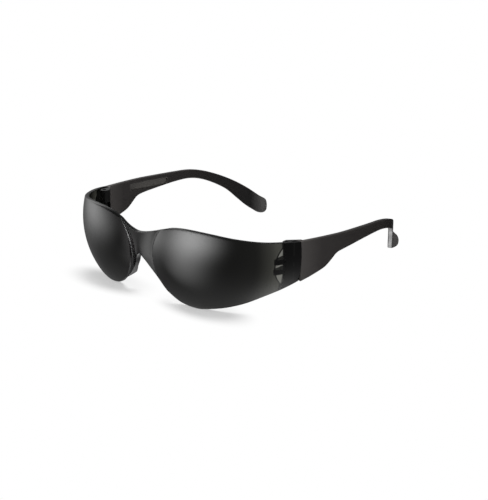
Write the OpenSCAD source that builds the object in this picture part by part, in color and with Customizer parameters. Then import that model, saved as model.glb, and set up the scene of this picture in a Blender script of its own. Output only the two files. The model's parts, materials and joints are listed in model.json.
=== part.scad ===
// Tinted wraparound safety glasses: a one-piece smoked lens front with two spherical
// eye domes, and two curved temples that fold inwards on vertical hinge pins.
// The front faces -Y, the temples run along +Y and +Z is up. The origin lies on the
// table, under the middle of the glasses.

/* [Lens domes] */
// Radius of each spherical eye dome, measured outside
dome_r = 50; // [49:0.25:51]
// Distance of each dome's centre from the middle plane
dome_x = 21; // [20:0.25:22]
// Height of the dome centres above the table
dome_z = 29; // [28:0.25:30]
// Wall of the moulded lens
lens_wall = 2.2; // [1.8:0.1:2.4]
// Bulge of the moulded edges
edge_bulge = 0.35; // [0.1:0.05:0.5]

/* [Lens outline] */
// Height of the brow's highest point
brow_peak_z = 43.4; // [42:0.2:45]
// Height of the brow edge where it meets the nose side of a dome
brow_nose_z = 40.5; // [39.5:0.1:41]
// Height of the lens's top edge at the hinges
brow_hinge_z = 36.4; // [35.6:0.2:37]
// Height of the lens's bottom edge at the hinges
low_hinge_z = 15.2; // [14.6:0.2:16]
// Depth of the lens, from the front of the domes to its rear edges
lens_depth = 43.4; // [42.5:0.1:44]

/* [Bridge and nose] */
// Height of the bridge's top edge in the middle
bridge_top_z = 37; // [36:0.2:38]
// Height of the nose notch's top in the middle
notch_top_z = 24.4; // [23:0.2:26]
// Radius of the arc that bounds a dome on its nose side
nose_arc_r = 21.9; // [21.5:0.1:22.5]
// Distance of that arc's centre from the middle plane
nose_arc_x = 28.8; // [28.4:0.1:29.4]
// Height of that arc's centre
nose_arc_z = 24; // [23.4:0.2:25]
// Height at which the nose flange runs out into the lens edge
flange_low_z = 6.6; // [6:0.2:8]
// Distance that the bridge stands in front of the domes at its top edge
bridge_stand = 0.8; // [0.2:0.1:1.4]
// Depth of the crease between a dome and the bridge
crease_depth = 1.6; // [1:0.1:2]
// Width of that crease
crease_w = 0.5; // [0.3:0.1:0.8]
// Depth of the nose flange, front to back
flange_depth = 6; // [4:0.5:8]
// Thickness of the nose flange, along the slope of the notch
flange_t = 2.4; // [2:0.1:3]

/* [Hinge] */
// Distance of each pivot from the middle plane
pivot_x = 64.8; // [64.6:0.1:65]
// Distance of the pivots behind the front of the domes
pivot_y = 38.6; // [38.2:0.1:39]
// Diameter of the hinge pin
pin_d = 2; // [1.6:0.1:2.2]
// Running clearance all round the pin in the temple
pin_gap = 0.04; // [0.02:0.01:0.08]
// Depth of the pin's top below the top of the hinge block
pin_sunk = 0.8; // [0.4:0.1:1.5]
// Height of the pin's lower end above the table
pin_low_z = 18; // [17:0.5:20]
// Diameter of the temple's hinge barrel
barrel_d = 4.2; // [4:0.1:4.4]
// Height of the lower face of the lower knuckle
knuckle_z = 21.3; // [20:0.5:22]
// Thickness of each knuckle
knuckle_t = 2.6; // [2:0.2:3]
// Distance between the lower faces of the two knuckles
knuckle_pitch = 5.2; // [5:0.2:6]
// Clearance above and below each knuckle in its slot
knuckle_gap = 0.25; // [0.15:0.05:0.35]
// Length of each knuckle's gusset in front of the pivot
gusset_l = 8.5; // [7.5:0.5:9.5]
// Radius of the thinned round window behind the hinge
window_r = 12.5; // [12:0.1:13]
// Wall of the lens in that window
window_wall = 1.3; // [1.2:0.1:1.4]

/* [Temples] */
// Thickness of each temple
temple_t = 2.6; // [2.2:0.1:3]
// Gap between the lens's rear edge and the temple's front edge
stop_gap = 0.3; // [0.2:0.05:0.5]
// Height of the temple's front panel
panel_h = 21; // [20:0.2:22]
// Length of that panel, back to where it has narrowed to the arm
panel_l = 28.5; // [26:0.5:31]
// Height of the arm just behind the panel
arm_h = 9.3; // [8.5:0.1:10.5]
// Height of the arm at its thinnest, in front of the ear
neck_h = 5; // [4.2:0.2:6]
// Height of the paddle behind the ear
paddle_h = 8.3; // [7.5:0.1:9.5]
// Length of the paddle's rounded end
paddle_end_l = 5.3; // [4:0.1:6]
// Height of the temple's top edge at the hinge
temple_top_z = 36.3; // [36:0.1:37]
// Height that the hinge block stands above that edge
block_rise = 0.1; // [0:0.1:0.8]
// Downward slope of the arm, in degrees
arm_slope = 4; // [3.5:0.1:4.5]
// Length of the straight arm, from the front edge to the ear bend
arm_l = 62.5; // [59:0.5:66]
// Radius of the ear bend along the temple's top edge
ear_r = 69.5; // [65:0.5:75]
// Angle through which the temple bends down over the ear
ear_angle = 38.3; // [37:0.1:40]
// Distance that the arm bows outwards behind the hinge
bow_out = 3; // [2:0.1:4]
// Distance that the paddle curves inwards from the hinge's outer face
tip_in = 20.6; // [17:0.1:22]
// Distance that the end of the paddle turns outwards again
tip_flare = 0.8; // [0:0.1:2]
// Length of the bare oblong pad recessed in the arm's inner face
pad_l = 24; // [20:1:26]
// Height of that pad
pad_h = 4.2; // [3.4:0.2:4.8]

/* [Hidden] */
// Facets: columns across a dome and across half the bridge, rows down the lens
dome_cols = 22;
bridge_cols = 5;
rows = 14;
// Facets: rings along a temple, and round its front edge and its tip
arm_rings = 42;
front_rings = 3;
tip_rings = 8;
// Rounding of the temple's long edges
temple_edge = 0.5;
// Clearance of the lens wall round the turning barrel
barrel_gap = 0.3;
// The barrel narrows at its foot, where the lens wall leans in
foot_d = 3;
foot_h = 4;
// Where the back of the crease lies towards the dome, so that the wall keeps its thickness
wall_shift = 1.4;
// Depth of the oblong pad, and its distance behind the front edge of the temple
pad_depth = 0.3;
pad_at = 37.5;
// Where the hinge web turns outwards to the panel: this far in front of it, and at least
// this far behind the pivot
web_turn = 3.1;
web_l = 2;

// Temple in side view: along its top line, then the round end that rests on the table
paddle_r = paddle_h / 2;
bend_to = arm_slope + ear_angle;
ear_l = ear_r * ear_angle * PI / 180;
panel_y = lens_depth + stop_gap;
bend_y = panel_y + arm_l * cos(arm_slope);
bend_z = temple_top_z - arm_l * sin(arm_slope);
paddle_y = bend_y + ear_r * (sin(bend_to) - sin(arm_slope));
paddle_z = bend_z - ear_r * (cos(arm_slope) - cos(bend_to));
end_drop = norm([paddle_r * cos(bend_to), paddle_end_l * sin(bend_to)]);
end_reach = norm([paddle_r * sin(bend_to), paddle_end_l * cos(bend_to)]);
paddle_l = (paddle_z - paddle_r * cos(bend_to) - end_drop) / sin(bend_to);
top_l = arm_l + ear_l + paddle_l;
tip_y = paddle_y + paddle_l * cos(bend_to) - paddle_r * sin(bend_to) + end_reach;
middle_y = (tip_y + tip_flare / 2 - bridge_stand) / 2;

// Curve through a list of [x, y] points, smooth in between
function slope_at(p, i) =
    let (a = p[max(i - 1, 0)], b = p[min(i + 1, len(p) - 1)]) (b[1] - a[1]) / (b[0] - a[0]);
function span_of(p, x, i = 0) = (i >= len(p) - 2 || x <= p[i + 1][0]) ? i : span_of(p, x, i + 1);
function smooth(p, x) =
    let (
        i = span_of(p, x),
        w = p[i + 1][0] - p[i][0],
        t = (x - p[i][0]) / w,
        m0 = slope_at(p, i) * w,
        m1 = slope_at(p, i + 1) * w
    )
    (2 * t^3 - 3 * t^2 + 1) * p[i][1] + (t^3 - 2 * t^2 + t) * m0
        + (3 * t^2 - 2 * t^3) * p[i + 1][1] + (t^3 - t^2) * m1;
function mix(a, b, t) = a + (b - a) * t;
function unit(v) = v / norm(v);

// Dome: a point at an angle round the dome's upright axis and a height, some depth inside
dome_y = dome_r;
function dome_ring(z, depth) = sqrt((dome_r - depth)^2 - (z - dome_z)^2);
function dome_point(a, z, depth) =
    let (r = dome_ring(z, depth)) [dome_x + r * sin(a), dome_y - r * cos(a), z];
function dome_angle(x, z) = asin((x - dome_x) / dome_ring(z, 0));
function dome_front(x, z) = dome_y - sqrt(dome_ring(z, 0)^2 - (x - dome_x)^2);
function hinge_angle(z, depth) = acos((dome_y - lens_depth) / dome_ring(z, depth));

// Nose side of a dome: an arc, from the brow down to where the flange runs out
brow_nose = brow_nose_z - edge_bulge;
arc_from = asin((brow_nose - nose_arc_z) / nose_arc_r);
arc_to = asin((flange_low_z - nose_arc_z) / nose_arc_r);
function nose_arc(t) =
    let (a = mix(arc_from, arc_to, t))
    [nose_arc_x - nose_arc_r * cos(a), nose_arc_z + nose_arc_r * sin(a)];

// Brow and lower edge of a dome: heights at angles round the dome
brow_peak = brow_peak_z - edge_bulge;
brow_end = brow_hinge_z - edge_bulge;
low_end = low_hinge_z + edge_bulge;
brow_line = [
    [dome_angle(nose_arc(0)[0], brow_nose), brow_nose],
    [0, mix(brow_end, brow_peak, 0.88)],
    [11, brow_peak],
    [26, mix(brow_end, brow_peak, 0.9)],
    [42, mix(brow_end, brow_peak, 0.62)],
    [58, mix(brow_end, brow_peak, 0.34)],
    [72, mix(brow_end, brow_peak, 0.16)],
    [hinge_angle(brow_end, 0), brow_end]
];
low_line = [
    [dome_angle(nose_arc(1)[0], flange_low_z), flange_low_z],
    [1, mix(edge_bulge, low_end, 0.12)],
    [14, edge_bulge],
    [24, mix(edge_bulge, low_end, 0.07)],
    [36, mix(edge_bulge, low_end, 0.2)],
    [48, mix(edge_bulge, low_end, 0.39)],
    [60, mix(edge_bulge, low_end, 0.64)],
    [72, mix(edge_bulge, low_end, 0.84)],
    [hinge_angle(low_end, 0), low_end]
];

// Dome patch between its four edges, as angle and height: s runs from nose to hinge,
// t from brow to lower edge
brow_a = brow_line[0][0];
low_a = low_line[0][0];
function nose_edge(t) = let (p = nose_arc(t)) [dome_angle(p[0], p[1]), p[1]];
function rear_edge(t, depth) =
    let (z = mix(brow_end, low_end, t)) [hinge_angle(z, depth), z];
function brow_edge(s) =
    let (a = mix(brow_a, hinge_angle(brow_end, 0), s)) [a, smooth(brow_line, a)];
function low_edge(s) =
    let (a = mix(low_a, hinge_angle(low_end, 0), s)) [a, smooth(low_line, a)];
function dome_patch(s, t, depth) =
    let (
        brow = brow_edge(s) + s * (rear_edge(0, depth) - rear_edge(0, 0)),
        low = low_edge(s) + s * (rear_edge(1, depth) - rear_edge(1, 0)),
        brow_chord = mix(nose_edge(0), rear_edge(0, depth), s),
        low_chord = mix(nose_edge(1), rear_edge(1, depth), s),
        q = mix(nose_edge(t), rear_edge(t, depth), s) + mix(brow - brow_chord, low - low_chord, t)
    )
    dome_point(q[0], q[1], depth);

// Bridge patch: u runs from the middle to the crease, t from the top edge to the notch
bridge_top = bridge_top_z - edge_bulge;
top_x = nose_arc(0)[0] - crease_w;
low_x = nose_arc(1)[0] - crease_w;
bridge_line = [
    [-0.35 * top_x, mix(bridge_top, brow_nose, 0.22)],
    [0, bridge_top],
    [0.35 * top_x, mix(bridge_top, brow_nose, 0.22)],
    [0.7 * top_x, mix(bridge_top, brow_nose, 0.6)],
    [top_x, brow_nose]
];
notch_line = [
    [-0.19 * low_x, mix(notch_top_z, flange_low_z, 0.15)],
    [0, notch_top_z],
    [0.19 * low_x, mix(notch_top_z, flange_low_z, 0.15)],
    [0.34 * low_x, mix(notch_top_z, flange_low_z, 0.36)],
    [0.55 * low_x, mix(notch_top_z, flange_low_z, 0.6)],
    [0.78 * low_x, mix(notch_top_z, flange_low_z, 0.83)],
    [low_x, flange_low_z]
];
// How far the bridge's middle line stands behind the front of the domes, by height
function bridge_y(z) =
    let (h = (z - flange_low_z) / (bridge_top_z - flange_low_z))
    smooth([[0, 6.3], [0.18, 5.3], [0.38, 3.5], [0.59, 1.3], [1, 0], [1.2, 0]], h) - bridge_stand;
function crease(t) = nose_arc(t) - [crease_w, 0];
function crease_y(t) =
    let (p = nose_arc(t)) dome_front(p[0], p[1]) + crease_depth * sin(180 * t)^0.8;
function bridge_patch(u, t, depth) =
    let (
        top = [u * top_x, smooth(bridge_line, u * top_x)],
        low = [u * low_x, smooth(notch_line, u * low_x)],
        top_chord = mix([0, bridge_top], crease(0), u),
        low_chord = mix([0, notch_top_z], crease(1), u),
        middle = [0, mix(bridge_top, notch_top_z, t)],
        q = mix(middle, crease(t), u) + mix(top - top_chord, low - low_chord, t),
        y = mix(bridge_y(q[1]), crease_y(t), u^2),
        spread = depth > 0 ? wall_shift / 2 * u : 0
    )
    [q[0] + spread, y + depth, q[1]];

// One closed ring of the lens for a column: down the front, round the lower edge, up the
// back and over the top edge. Rim is 1 where the column ends in the nose flange
function lens_ring(front, back, rim) =
    let (
        f_low = front[rows],
        b_low = back[rows],
        out_low = edge_bulge * unit(front[rows] - front[rows - 1]),
        out_top = edge_bulge * unit(front[0] - front[1])
    )
    concat(
        [mix(front[0], back[0], 0.25) + out_top],
        front,
        rim > 0
            ? [f_low + [0, flange_depth, 0], b_low + [0, flange_depth - lens_wall, 0]]
            : [mix(f_low, b_low, 0.25) + out_low, mix(f_low, b_low, 0.75) + out_low],
        [for (i = [rows:-1:0]) back[i]],
        [mix(front[0], back[0], 0.75) + out_top]
    );
dome_arc = (hinge_angle(dome_z, 0) - dome_angle(nose_arc(0.5)[0], dome_z)) * PI / 180 * dome_r;
function dome_column(s) =
    lens_ring(
        [for (i = [0:rows]) dome_patch(s, i / rows, 0)],
        [for (i = [0:rows]) dome_patch(mix(wall_shift / dome_arc, 1, s), i / rows, lens_wall)],
        0
    );
function bridge_column(u) =
    let (
        column_l = norm(bridge_patch(u, 0, 0) - bridge_patch(u, 1, 0)),
        share = u < 1 ? 1 - flange_t / column_l : 1
    )
    lens_ring(
        [for (i = [0:rows]) bridge_patch(u, i / rows, 0)],
        [for (i = [0:rows]) bridge_patch(u, i / rows * share, lens_wall)],
        u < 1 ? 1 : 0
    );
function flip_ring(ring) = [for (p = ring) [-p[0], p[1], p[2]]];
half_lens = concat(
    [for (i = [1:bridge_cols]) bridge_column(i / bridge_cols)],
    [for (i = [0:dome_cols]) dome_column(i / dome_cols)]
);
lens_rings = concat(
    [for (i = [len(half_lens) - 1:-1:0]) flip_ring(half_lens[i])],
    [bridge_column(0)],
    half_lens
);

// Temple in side view: the point and the direction on its top line
function top_point(s) =
    s <= arm_l ? [panel_y + s * cos(arm_slope), temple_top_z - s * sin(arm_slope)]
    : s <= arm_l + ear_l ?
        let (a = top_turn(s))
        [bend_y + ear_r * (sin(a) - sin(arm_slope)), bend_z - ear_r * (cos(arm_slope) - cos(a))]
    : [paddle_y + (s - arm_l - ear_l) * cos(bend_to), paddle_z - (s - arm_l - ear_l) * sin(bend_to)];
function top_turn(s) = arm_slope + min(max((s - arm_l) / ear_l, 0), 1) * ear_angle;
// Down the temple, square to its top line but upright at the front edge
function down(s) =
    let (a = s < panel_l ? arm_slope * s / panel_l : top_turn(s)) [-sin(a), -cos(a)];

// Height of the temple along that line: panel, arm, neck in front of the ear, paddle
neck_at = arm_l + 5;
function panel_part(f, h) = [panel_l * f, mix(arm_h, panel_h, h)];
function neck_part(f, h) = [mix(panel_l, neck_at, f), mix(neck_h, arm_h, h)];
function paddle_part(f, h) = [mix(neck_at, top_l, f), mix(neck_h, paddle_h, h)];
height_line = [
    panel_part(0, 1),
    panel_part(0.22, 0.87),
    panel_part(0.4, 0.745),
    panel_part(0.61, 0.58),
    panel_part(0.73, 0.4),
    panel_part(0.82, 0.23),
    panel_part(0.9, 0.085),
    panel_part(1, 0),
    neck_part(0.24, 0.68),
    neck_part(0.7, 0.18),
    neck_part(1, 0),
    paddle_part(0.25, 0),
    paddle_part(0.53, 0.27),
    paddle_part(0.74, 0.86),
    paddle_part(0.89, 1.07),
    paddle_part(1, 1)
];

// Temple seen from above: its outer face, as the distance from the middle plane
face_x = pivot_x + barrel_d / 2 + 3.2;
function face_part(f, inwards) =
    [mix(panel_y, tip_y, f), mix(face_x + bow_out, face_x - tip_in, inwards)];
face_line = [
    [panel_y, face_x],
    [mix(panel_y, tip_y, 0.12), face_x + 0.59 * bow_out],
    face_part(0.26, 0),
    face_part(0.4, 0.02),
    face_part(0.53, 0.06),
    face_part(0.64, 0.125),
    face_part(0.72, 0.25),
    face_part(0.79, 0.455),
    face_part(0.86, 0.685),
    face_part(0.92, 0.89),
    face_part(0.96, 1),
    [tip_y, face_x - tip_in + tip_flare]
];
// A point on the temple: where it lies in side view, and how deep in its thickness
function temple_point(q, depth) =
    let (
        lean = smooth(face_line, q[0] + 0.5) - smooth(face_line, q[0] - 0.5),
        inwards = unit([-1, lean])
    )
    [smooth(face_line, q[0]) + depth * inwards[0], q[0] + depth * inwards[1], q[1]];
// One closed ring of the temple: top corner outside, outer face, lower corner, then the
// same upwards on the inner face. Inset shrinks it all round
function edge_steps(r) = [[r, 0], [0.3 * r, 0.3 * r], [0, r]];
function temple_ring(from, way, h, inset) =
    let (
        r = min(temple_edge, 0.3 * (h - 2 * inset)),
        low = h - inset,
        half = h / 2,
        side = concat(
            [for (e = edge_steps(r)) [e[0] + inset, e[1] + inset]],
            [[inset, half]],
            [for (e = edge_steps(r)) [e[1] + inset, low - e[0]]]
        ),
        back = [for (i = [len(side) - 1:-1:0]) [temple_t - side[i][0], side[i][1]]]
    )
    [for (e = concat(side, back)) temple_point(from + way * e[1], e[0])];
front_edge = [
    for (i = [0:front_rings - 1])
        let (a = 90 * i / front_rings, r = temple_edge)
        temple_ring(top_point(r * (1 - cos(a))), down(0), panel_h, r * (1 - sin(a)))
];
arm = [
    for (i = [0:arm_rings])
        let (s = mix(temple_edge, top_l, i / arm_rings))
        temple_ring(top_point(s), down(s), smooth(height_line, s), 0)
];
tip_centre = top_point(top_l) + paddle_r * down(top_l);
tip_round = [
    for (i = [1:tip_rings])
        let (a = 84 * i / tip_rings)
        temple_ring(
            tip_centre + paddle_end_l * sin(a) * [cos(bend_to), -sin(bend_to)]
                - paddle_r * cos(a) * down(top_l),
            down(top_l),
            paddle_h * cos(a),
            0
        )
];

// Closed solid over a stack of rings. The two end rings are closed by strips of
// triangles between the points that face each other
function ring_skin(count, n) = [
    for (i = [0:count - 2])
        for (k = [0:n - 1])
            let (a = i * n + k, b = i * n + (k + 1) % n)
            each [[a, a + n, b + n], [a, b + n, b]]
];
function ring_cap(first, n, last) = [
    for (i = [0:n / 2 - 2])
        let (a = first + i, b = first + i + 1, c = first + n - 2 - i, d = first + n - 1 - i)
        each (last ? [[a, c, b], [a, d, c]] : [[a, b, c], [a, c, d]])
];
module ring_solid(rings) {
    n = len(rings[0]);
    polyhedron(
        points = [for (r = rings) each r],
        faces = concat(
            ring_skin(len(rings), n),
            ring_cap(0, n, false),
            ring_cap((len(rings) - 1) * n, n, true)
        )
    );
}

// Hinge: heights and the space round the pivot
block_top_z = temple_top_z + block_rise;
block_low_z = low_hinge_z - 0.4;
pin_top_z = block_top_z - pin_sunk;
window_z = (brow_hinge_z + low_hinge_z) / 2 - 0.3;
window_y = pivot_y + 3.5;
web_y = max(pivot_y + web_l, panel_y - web_turn);

// Round window in which the lens wall is thinned from inside, and the relief in which
// the barrel turns
module hinge_relief() {
    intersection() {
        translate([pivot_x - 8, window_y, window_z])
            rotate([0, 90, 0])
                cylinder(r = window_r, h = 20, $fn = 96);
        translate([dome_x, dome_y, dome_z])
            sphere(r = dome_r - window_wall, $fn = 160);
    }
    translate([pivot_x, pivot_y, 0]) {
        translate([0, 0, block_low_z + foot_h])
            cylinder(d = barrel_d + 2 * barrel_gap, h = block_top_z, $fn = 48);
        translate([0, 0, block_low_z - foot_h])
            cylinder(
                d1 = foot_d - (barrel_d - foot_d) + 2 * barrel_gap,
                d2 = barrel_d + 2 * barrel_gap,
                h = 2 * foot_h,
                $fn = 48
            );
    }
}

// Knuckle with its gusset, grown from the lens wall round the pin
module knuckle(low_z) {
    mid_z = low_z + knuckle_t / 2;
    front_y = pivot_y - gusset_l;
    rear_y = pivot_y + barrel_d / 2;
    wall = [
        for (i = [0:6])
            let (y = mix(rear_y, front_y, i / 6))
            [
                dome_x + sqrt((dome_r - window_wall / 2)^2 - (y - dome_y)^2 - (mid_z - dome_z)^2),
                y
            ]
    ];
    inner_x = dome_x + sqrt((dome_r - lens_wall)^2 - (front_y - dome_y)^2 - (mid_z - dome_z)^2);
    translate([0, 0, low_z]) {
        linear_extrude(knuckle_t)
            polygon(concat(
                wall,
                [
                    [inner_x - 0.9, front_y],
                    [pivot_x - barrel_d / 2, pivot_y],
                    [pivot_x, rear_y]
                ]
            ));
        translate([pivot_x, pivot_y, 0])
            cylinder(d = barrel_d, h = knuckle_t, $fn = 48);
    }
}

module lens_side() {
    for (i = [0:1])
        knuckle(knuckle_z + i * knuckle_pitch);
}

module lens_front() {
    color([0.2, 0.2, 0.19, 0.7])
        difference() {
            union() {
                difference() {
                    ring_solid(lens_rings);
                    hinge_relief();
                    mirror([1, 0, 0])
                        hinge_relief();
                }
                lens_side();
                mirror([1, 0, 0])
                    lens_side();
            }
            pin_hole(pin_d);
            mirror([1, 0, 0])
                pin_hole(pin_d);
        }
}

module pin_hole(d) {
    translate([pivot_x, pivot_y, pin_low_z])
        cylinder(d = d, h = block_top_z, $fn = 48);
}

// Hinge block of the temple: a barrel round the pin, carried by the panel
module hinge_block() {
    inner_x = face_x - temple_t;
    translate([pivot_x, pivot_y, block_low_z]) {
        cylinder(d1 = foot_d, d2 = barrel_d, h = foot_h, $fn = 48);
        translate([0, 0, foot_h])
            cylinder(d = barrel_d, h = block_top_z - block_low_z - foot_h, $fn = 48);
    }
    translate([0, 0, block_low_z + foot_h / 2])
        linear_extrude(block_top_z - block_low_z - foot_h / 2)
            polygon([
                [pivot_x - barrel_d / 2, pivot_y],
                [pivot_x - barrel_d / 2, web_y],
                [inner_x + 0.2, panel_y + 2.4],
                [inner_x + 1.2, panel_y + 2.4],
                [inner_x + 1.2, panel_y],
                [pivot_x + barrel_d / 2 - 0.5, panel_y],
                [pivot_x + barrel_d / 2 - 0.5, pivot_y]
            ]);
    // Below it the web stays further in, clear of the lens wall
    translate([0, 0, block_low_z + 0.7])
        linear_extrude(foot_h - 1)
            polygon([
                [pivot_x - 1.5, pivot_y + 0.2],
                [pivot_x - 1.5, web_y + 0.6],
                [inner_x + 0.4, panel_y + 2.6],
                [inner_x + 1, panel_y + 2.6],
                [inner_x + 1, panel_y + 0.2],
                [inner_x - 0.3, panel_y + 0.2],
                [pivot_x + 0.2, panel_y - 2],
                [pivot_x + 0.2, pivot_y + 0.2]
            ]);
}

// Slot in which a knuckle lies
module knuckle_slot(low_z) {
    far = barrel_d / 2 + barrel_gap;
    translate([pivot_x - 10, pivot_y - 10, low_z - knuckle_gap])
        cube([20, 10 + far, knuckle_t + 2 * knuckle_gap]);
}

module temple() {
    difference() {
        union() {
            ring_solid(concat(front_edge, arm, tip_round));
            hinge_block();
        }
        for (i = [0:1])
            knuckle_slot(knuckle_z + i * knuckle_pitch);
        pin_hole(pin_d + 2 * pin_gap);
        name_pad();
    }
}

// Bare oblong pad recessed in the inner face of the arm
module name_pad() {
    half = (pad_l - pad_h) / 2;
    pad_y = panel_y + pad_at;
    lean = smooth(face_line, pad_y + 0.5) - smooth(face_line, pad_y - 0.5);
    translate([
        smooth(face_line, pad_y) - temple_t - 1 + pad_depth,
        pad_y,
        temple_top_z - pad_at * sin(arm_slope) - arm_h / 2 + 0.6
    ])
        rotate([-arm_slope, 0, -atan(lean)]) {
            for (y = [-half, half])
                translate([0, y, 0])
                    rotate([0, 90, 0])
                        translate([0, 0, -1])
                            cylinder(d = pad_h, h = 2, $fn = 48);
            translate([-1, -half, -pad_h / 2])
                cube([2, 2 * half, pad_h]);
        }
}

module hinge_pin() {
    color([0.55, 0.55, 0.54])
        translate([pivot_x, pivot_y, pin_low_z])
            cylinder(d = pin_d, h = pin_top_z - pin_low_z, $fn = 48);
}

// Everything is drawn from the front of the domes and then centred
module centred() {
    translate([0, -middle_y, 0])
        children();
}
module temple_left() {
    color([0.16, 0.155, 0.15])
        temple();
}
module temple_right() {
    mirror([1, 0, 0])
        temple_left();
}
module hinge_pin_left() {
    hinge_pin();
}
module hinge_pin_right() {
    mirror([1, 0, 0])
        hinge_pin();
}

centred() lens_front();
centred() temple_left();
centred() temple_right();
centred() hinge_pin_left();
centred() hinge_pin_right();
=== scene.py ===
# %% [markdown]
# # Tinted wraparound safety glasses
# The glasses are five pieces: a smoked lens moulded in one piece, two dark side arms called
# temples, and the two pins that they fold on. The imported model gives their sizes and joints.
# This file dresses it: it builds the lens and the temples again as smooth skins on the same
# curves, gives every piece its finish, and sets a small white studio round them.

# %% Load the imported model
import json
import math

import bpy
from mathutils import Matrix, Vector


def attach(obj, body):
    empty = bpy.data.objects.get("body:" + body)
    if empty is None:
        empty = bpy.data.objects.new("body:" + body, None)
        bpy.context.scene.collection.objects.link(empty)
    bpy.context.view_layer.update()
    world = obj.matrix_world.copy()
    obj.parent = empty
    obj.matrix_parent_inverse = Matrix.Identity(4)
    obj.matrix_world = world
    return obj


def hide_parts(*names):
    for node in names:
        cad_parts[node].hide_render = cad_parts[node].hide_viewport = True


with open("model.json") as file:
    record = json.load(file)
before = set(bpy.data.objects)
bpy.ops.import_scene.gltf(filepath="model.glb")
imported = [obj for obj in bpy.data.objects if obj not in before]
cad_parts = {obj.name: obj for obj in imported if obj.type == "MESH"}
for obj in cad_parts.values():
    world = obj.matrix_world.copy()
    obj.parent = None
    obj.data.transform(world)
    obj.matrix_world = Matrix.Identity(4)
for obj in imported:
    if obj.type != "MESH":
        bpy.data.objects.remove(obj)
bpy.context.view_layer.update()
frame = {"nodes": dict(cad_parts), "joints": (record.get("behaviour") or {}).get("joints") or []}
joints = {joint["name"]: joint for joint in frame["joints"]}

# %% [markdown]
# Sizes are easier to read in millimetres, measured from the front of the lens domes. The
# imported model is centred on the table, so one number, the shift, takes a depth to its place.
# The hinge's depth is known both ways, which gives the shift.

# %% Millimetres and the shift
MM = 0.001
PIVOT_X = 64.8
PIVOT_Y = 38.6
SHIFT = PIVOT_Y - joints["left_fold"]["pos_m"][1] / MM


def place(x, y, z):
    """A point in millimetres from the front of the domes, as a point of the model."""
    return Vector((x * MM, (y - SHIFT) * MM, z * MM))


print("shift in mm", round(SHIFT, 3))

# %% [markdown]
# The camera comes first, because it decides what has to look right. The photograph was taken
# from in front, about 41 degrees round to the wearer's left and 19 degrees above the table,
# with a long lens. These numbers come from fitting the outlines of both lenses and both
# temples, left and right halves being mirror images.

# %% Camera
CAMERA_RIGHT = Vector((0.75369, 0.65718, 0.00818))
CAMERA_UP = Vector((-0.22412, 0.24530, 0.94318))
CAMERA_BACK = Vector((0.61783, -0.71270, 0.33217))
CAMERA_PLACE = Vector((0.49155, -0.56400, 0.26989))
PHOTO_HEIGHT = 500
FOCAL_PIXELS = 1449.7
SENSOR = 36

camera_data = bpy.data.cameras.new("camera")
camera_data.sensor_width = SENSOR
camera_data.lens = FOCAL_PIXELS * SENSOR / PHOTO_HEIGHT
camera = bpy.data.objects.new("camera", camera_data)
turn = Matrix((CAMERA_RIGHT, CAMERA_UP, CAMERA_BACK)).transposed()
camera.matrix_world = Matrix.LocRotScale(CAMERA_PLACE, turn.to_quaternion(), None)
bpy.context.collection.objects.link(camera)
bpy.context.scene.camera = camera
print("lens", round(camera_data.lens, 1), "mm")

# %% [markdown]
# Every outline on these glasses is a soft curve through a few known points. One function
# draws such a curve: between two points it bends so that it leaves and meets them in the
# direction of their neighbours. Angles are written in degrees.

# %% Soft curves
def sin(degrees):
    return math.sin(math.radians(degrees))


def cos(degrees):
    return math.cos(math.radians(degrees))


def mix(a, b, t):
    """The number that lies a share t of the way from a to b."""
    return a + (b - a) * t


def smooth(points, x):
    """The height at x of a soft curve through [(x, height), ...]."""
    last = len(points) - 1

    def slope(i):
        (x0, y0), (x1, y1) = points[max(i - 1, 0)], points[min(i + 1, last)]
        return (y1 - y0) / (x1 - x0)

    i = next((k for k in range(last - 1) if x <= points[k + 1][0]), last - 1)
    (x0, y0), (x1, y1) = points[i], points[i + 1]
    w = x1 - x0
    t = (x - x0) / w
    return (
        (2 * t**3 - 3 * t**2 + 1) * y0
        + (t**3 - 2 * t**2 + t) * w * slope(i)
        + (3 * t**2 - 2 * t**3) * y1
        + (t**3 - t**2) * w * slope(i + 1)
    )


print("half way up a hill", round(smooth([(0, 0), (1, 0), (2, 1), (3, 1)], 1.5), 2))

# %% [markdown]
# ## The lens
# The real lens is injection moulded from smoked polycarbonate. Each eye sits behind a part
# of a true sphere, which keeps the view free of distortion. On its nose side a sphere ends
# at an arc, where a crease leads over to the bridge. So the front is two curved patches: one
# on the sphere, measured by angle and height, and one over the bridge.

# %% The sphere of one eye
DOME_R = 50
DOME_X = 21
DOME_Z = 29
LENS_WALL = 2.2
LENS_DEPTH = 43.4


def dome_ring(z, depth=0):
    """The radius of the sphere's level ring at a height, at a depth into the wall."""
    return math.sqrt((DOME_R - depth) ** 2 - (z - DOME_Z) ** 2)


def dome_angle(x, z):
    """How far round the sphere a point lies, from straight ahead towards the hinge."""
    return math.degrees(math.asin((x - DOME_X) / dome_ring(z)))


def hinge_angle(z, depth=0):
    """How far round the sphere its hinge edge lies."""
    return math.degrees(math.acos((DOME_R - LENS_DEPTH) / dome_ring(z, depth)))


def dome_front(x, z):
    """How far back the sphere's surface is at a place."""
    return DOME_R - math.sqrt(dome_ring(z) ** 2 - (x - DOME_X) ** 2)


print("the sphere turns back by", round(hinge_angle(DOME_Z)), "degrees")

# %% [markdown]
# An arc of a circle bounds the sphere beside the nose. It stands up to 1.3 mm further out
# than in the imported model, because a close look at the photograph shows its crease there. The
# brow and the lower edge are soft curves over the angle. Each height in them is a share of
# the way from the hinge to the brow's peak, or from the lowest point to the hinge. The
# moulded edge bulges a little past these curves, so they stop that much short of the real
# height.

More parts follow.
